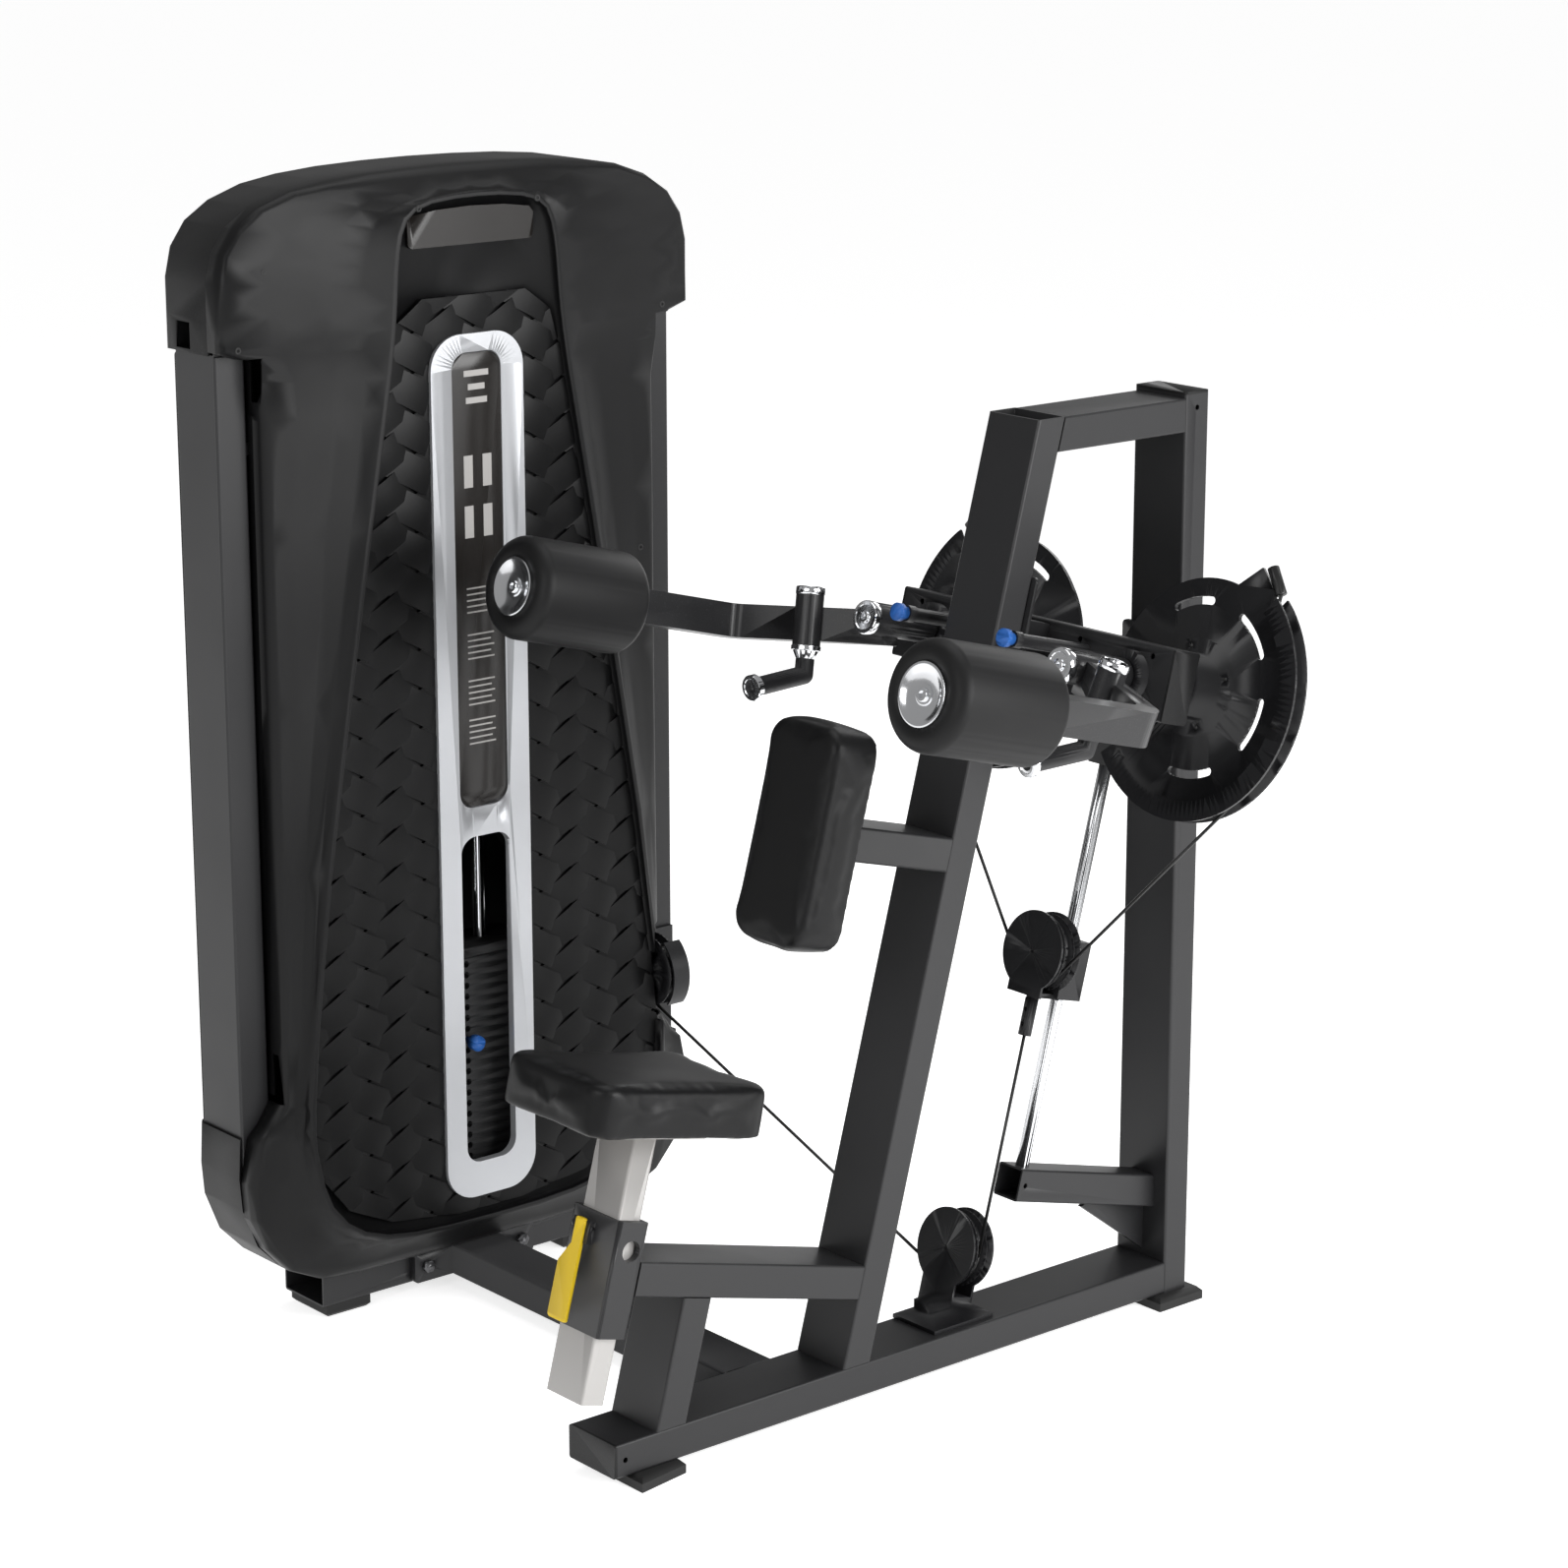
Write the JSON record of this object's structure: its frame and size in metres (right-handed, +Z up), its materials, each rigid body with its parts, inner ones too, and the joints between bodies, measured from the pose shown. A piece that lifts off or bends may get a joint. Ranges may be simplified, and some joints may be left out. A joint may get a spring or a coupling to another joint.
{
  "type": "seated lateral raise machine",
  "caption": "Seated lateral-raise machine with chest pad, sliding seat, two swinging roller arms, cams, a cable drive and a covered weight stack.",
  "frame": {"origin": "centre of the bounding box at floor level, under the feet", "axes": "+Z up, +Y from the seat end towards the rear of the machine, +X towards the seated user's right; the weight tower stands at -X"},
  "size_m": [1.3537, 1.232, 1.732],
  "materials": {
    "frame_paint": "satin",
    "column_paint": "satin",
    "arm_paint": "hammered satin",
    "cam_paint": "satin",
    "pad_vinyl": "fine grain",
    "foam": "matte",
    "grip_rubber": "matte",
    "chrome": "polished",
    "cable": "satin",
    "blue_knob": "smooth",
    "yellow": "smooth",
    "post_metal": "brushed",
    "pulley_plastic": "moulded",
    "cover_plastic": "moulded satin",
    "weave_plastic": "woven relief",
    "silver": "satin",
    "placard": "printed",
    "rear_plastic": "fine texture",
    "plate_iron": "painted",
    "black_plastic": "moulded",
    "rubber_feet": "matte",
    "bolt_steel": "zinc",
    "bearing_black": "satin"
  },
  "bodies": {
    "frame": {"main_rail": "frame_paint", "rear_upright": "frame_paint", "inclined_upright": "column_paint", "seat_frame": "column_paint", "chest_beam": "column_paint", "chest_pad": "pad_vinyl", "rod_bracket": "frame_paint", "guide_rod": "chrome", "pivot_support": "column_paint", "pivot_beam": "column_paint", "pivot_bearings": "bearing_black", "seat_sleeve": "column_paint", "base_bracket": "cam_paint", "tower_base": "frame_paint", "tower_frame": "frame_paint", "cross_rail": "frame_paint", "joint_bolts": "bolt_steel", "stack_rods": "chrome", "plates_resting": "plate_iron", "top_bracket": "cam_paint", "tower_bracket": "cam_paint", "front_cover": "cover_plastic", "woven_panel": "weave_plastic", "bezel": "silver", "placards": "placard", "rear_cover": "rear_plastic", "end_caps": "black_plastic", "feet": "rubber_feet", "frame_cable": "cable"},
    "arm_right": {"arm_right": "arm_paint", "arm_trim_right": "chrome", "cam_right": "cam_paint", "cam_cable_right": "cable"},
    "roller_right": {"roller_right": "foam"},
    "grip_right": {"grip_right": "grip_rubber"},
    "pop_pin_right": {"pop_pin_right": "blue_knob"},
    "arm_left": {"arm_left": "arm_paint", "arm_trim_left": "chrome", "cam_left": "cam_paint", "cam_cable_left": "cable"},
    "roller_left": {"roller_left": "foam"},
    "grip_left": {"grip_left": "grip_rubber"},
    "pop_pin_left": {"pop_pin_left": "blue_knob"},
    "seat": {"seat_post": "post_metal", "seat_pad": "pad_vinyl"},
    "lever": {"seat_lever": "yellow"},
    "float": {"float_block": "cam_paint", "float_cable": "cable", "run_cable_right": "cable", "run_cable_left": "cable", "drop_cable": "cable"},
    "float_pulley": {"float_pulley": "pulley_plastic"},
    "base_pulley": {"base_pulley": "pulley_plastic"},
    "tower_pulley": {"tower_pulley": "pulley_plastic"},
    "top_pulley_front": {"top_pulley_front": "pulley_plastic"},
    "top_pulley_rear": {"top_pulley_rear": "pulley_plastic"},
    "selector_pin": {"selector_pin": "blue_knob"},
    "stack": {"top_plate": "plate_iron", "plates_lifted": "plate_iron", "stack_cable": "cable"}
  },
  "joints": [
    {"name": "arm_right_swing", "type": "hinge", "parent": "frame", "child": "arm_right", "pos_m": [0.37115, 0.21252, 1.07748], "axis": [0, -0.9659, 0.2588], "range_deg": [0, 37]},
    {"name": "arm_left_swing", "type": "hinge", "parent": "frame", "child": "arm_left", "pos_m": [-0.03485, 0.21252, 1.07748], "axis": [0, 0.9659, -0.2588], "range_deg": [0, 37]},
    {"name": "roller_right_spin", "type": "hinge", "parent": "arm_right", "child": "roller_right", "pos_m": [0.60183, -0.21598, 1.13967], "axis": [0, 0.9659, -0.2588], "continuous": true},
    {"name": "grip_right_swivel", "type": "hinge", "parent": "arm_right", "child": "grip_right", "pos_m": [0.47849, 0.13904, 1.07757], "axis": [0.1736, 0.2549, 0.9513], "range_deg": [-40, 40]},
    {"name": "pop_pin_right_pull", "type": "slide", "parent": "frame", "child": "pop_pin_right", "axis": [0, -0.9659, 0.2588], "range_m": [0, 0.012], "stiffness_N_per_m": 1500},
    {"name": "roller_left_spin", "type": "hinge", "parent": "arm_left", "child": "roller_left", "pos_m": [-0.26553, -0.21598, 1.13967], "axis": [0, 0.9659, -0.2588], "continuous": true},
    {"name": "grip_left_swivel", "type": "hinge", "parent": "arm_left", "child": "grip_left", "pos_m": [-0.14219, 0.13904, 1.07757], "axis": [-0.1736, 0.2549, 0.9513], "range_deg": [-40, 40]},
    {"name": "pop_pin_left_pull", "type": "slide", "parent": "frame", "child": "pop_pin_left", "axis": [0, -0.9659, 0.2588], "range_m": [0, 0.012], "stiffness_N_per_m": 1500},
    {"name": "seat_height", "type": "slide", "parent": "frame", "child": "seat", "axis": [0, 0.2588, 0.9659], "range_m": [0, 0.16]},
    {"name": "lever_release", "type": "hinge", "parent": "frame", "child": "lever", "pos_m": [0.15215, -0.513, 0.37119], "axis": [1, 0, 0], "range_deg": [-14, 0], "stiffness_Nm_per_rad": 1.5},
    {"name": "float_rise", "type": "slide", "parent": "frame", "child": "float", "axis": [0, 0.2588, 0.9659], "range_m": [0, 0.1938], "deforming": ["run_cable_right", "run_cable_left", "drop_cable", "float_cable"]},
    {"name": "float_pulley_spin", "type": "hinge", "parent": "float", "child": "float_pulley", "pos_m": [0.16815, 0.32661, 0.59915], "axis": [0, 0.9659, -0.2588], "continuous": true},
    {"name": "base_pulley_spin", "type": "hinge", "parent": "frame", "child": "base_pulley", "pos_m": [0.11815, 0.20639, 0.15048], "axis": [0, 0.9659, -0.2588], "range_deg": [-222.5, 1]},
    {"name": "tower_pulley_spin", "type": "hinge", "parent": "frame", "child": "tower_pulley", "pos_m": [-0.52685, 0.146, 0.444], "axis": [0, 1, 0], "range_deg": [-1, 222.5]},
    {"name": "top_front_spin", "type": "hinge", "parent": "frame", "child": "top_pulley_front", "pos_m": [-0.59485, -0.146, 1.42], "axis": [1, 0, 0], "range_deg": [-1, 222.5]},
    {"name": "top_rear_spin", "type": "hinge", "parent": "frame", "child": "top_pulley_rear", "pos_m": [-0.59485, 0.084, 1.42], "axis": [1, 0, 0], "range_deg": [-1, 222.5]},
    {"name": "stack_lift", "type": "slide", "parent": "frame", "child": "stack", "axis": [0, 0, 1], "range_m": [0, 0.1938], "deforming": ["stack_cable"]},
    {"name": "selector_pin_pull", "type": "slide", "parent": "stack", "child": "selector_pin", "axis": [1, 0, 0], "range_m": [0, 0.02]}
  ],
  "couplings": [
    {"joint": "arm_left_swing", "follows": "arm_right_swing", "ratio": 1},
    {"joint": "float_rise", "follows": "arm_right_swing", "m_per_rad": 0.3},
    {"joint": "stack_lift", "follows": "arm_right_swing", "m_per_rad": 0.3},
    {"joint": "base_pulley_spin", "follows": "arm_right_swing", "ratio": -6},
    {"joint": "tower_pulley_spin", "follows": "arm_right_swing", "ratio": 6},
    {"joint": "top_front_spin", "follows": "arm_right_swing", "ratio": 6},
    {"joint": "top_rear_spin", "follows": "arm_right_swing", "ratio": 6}
  ]
}
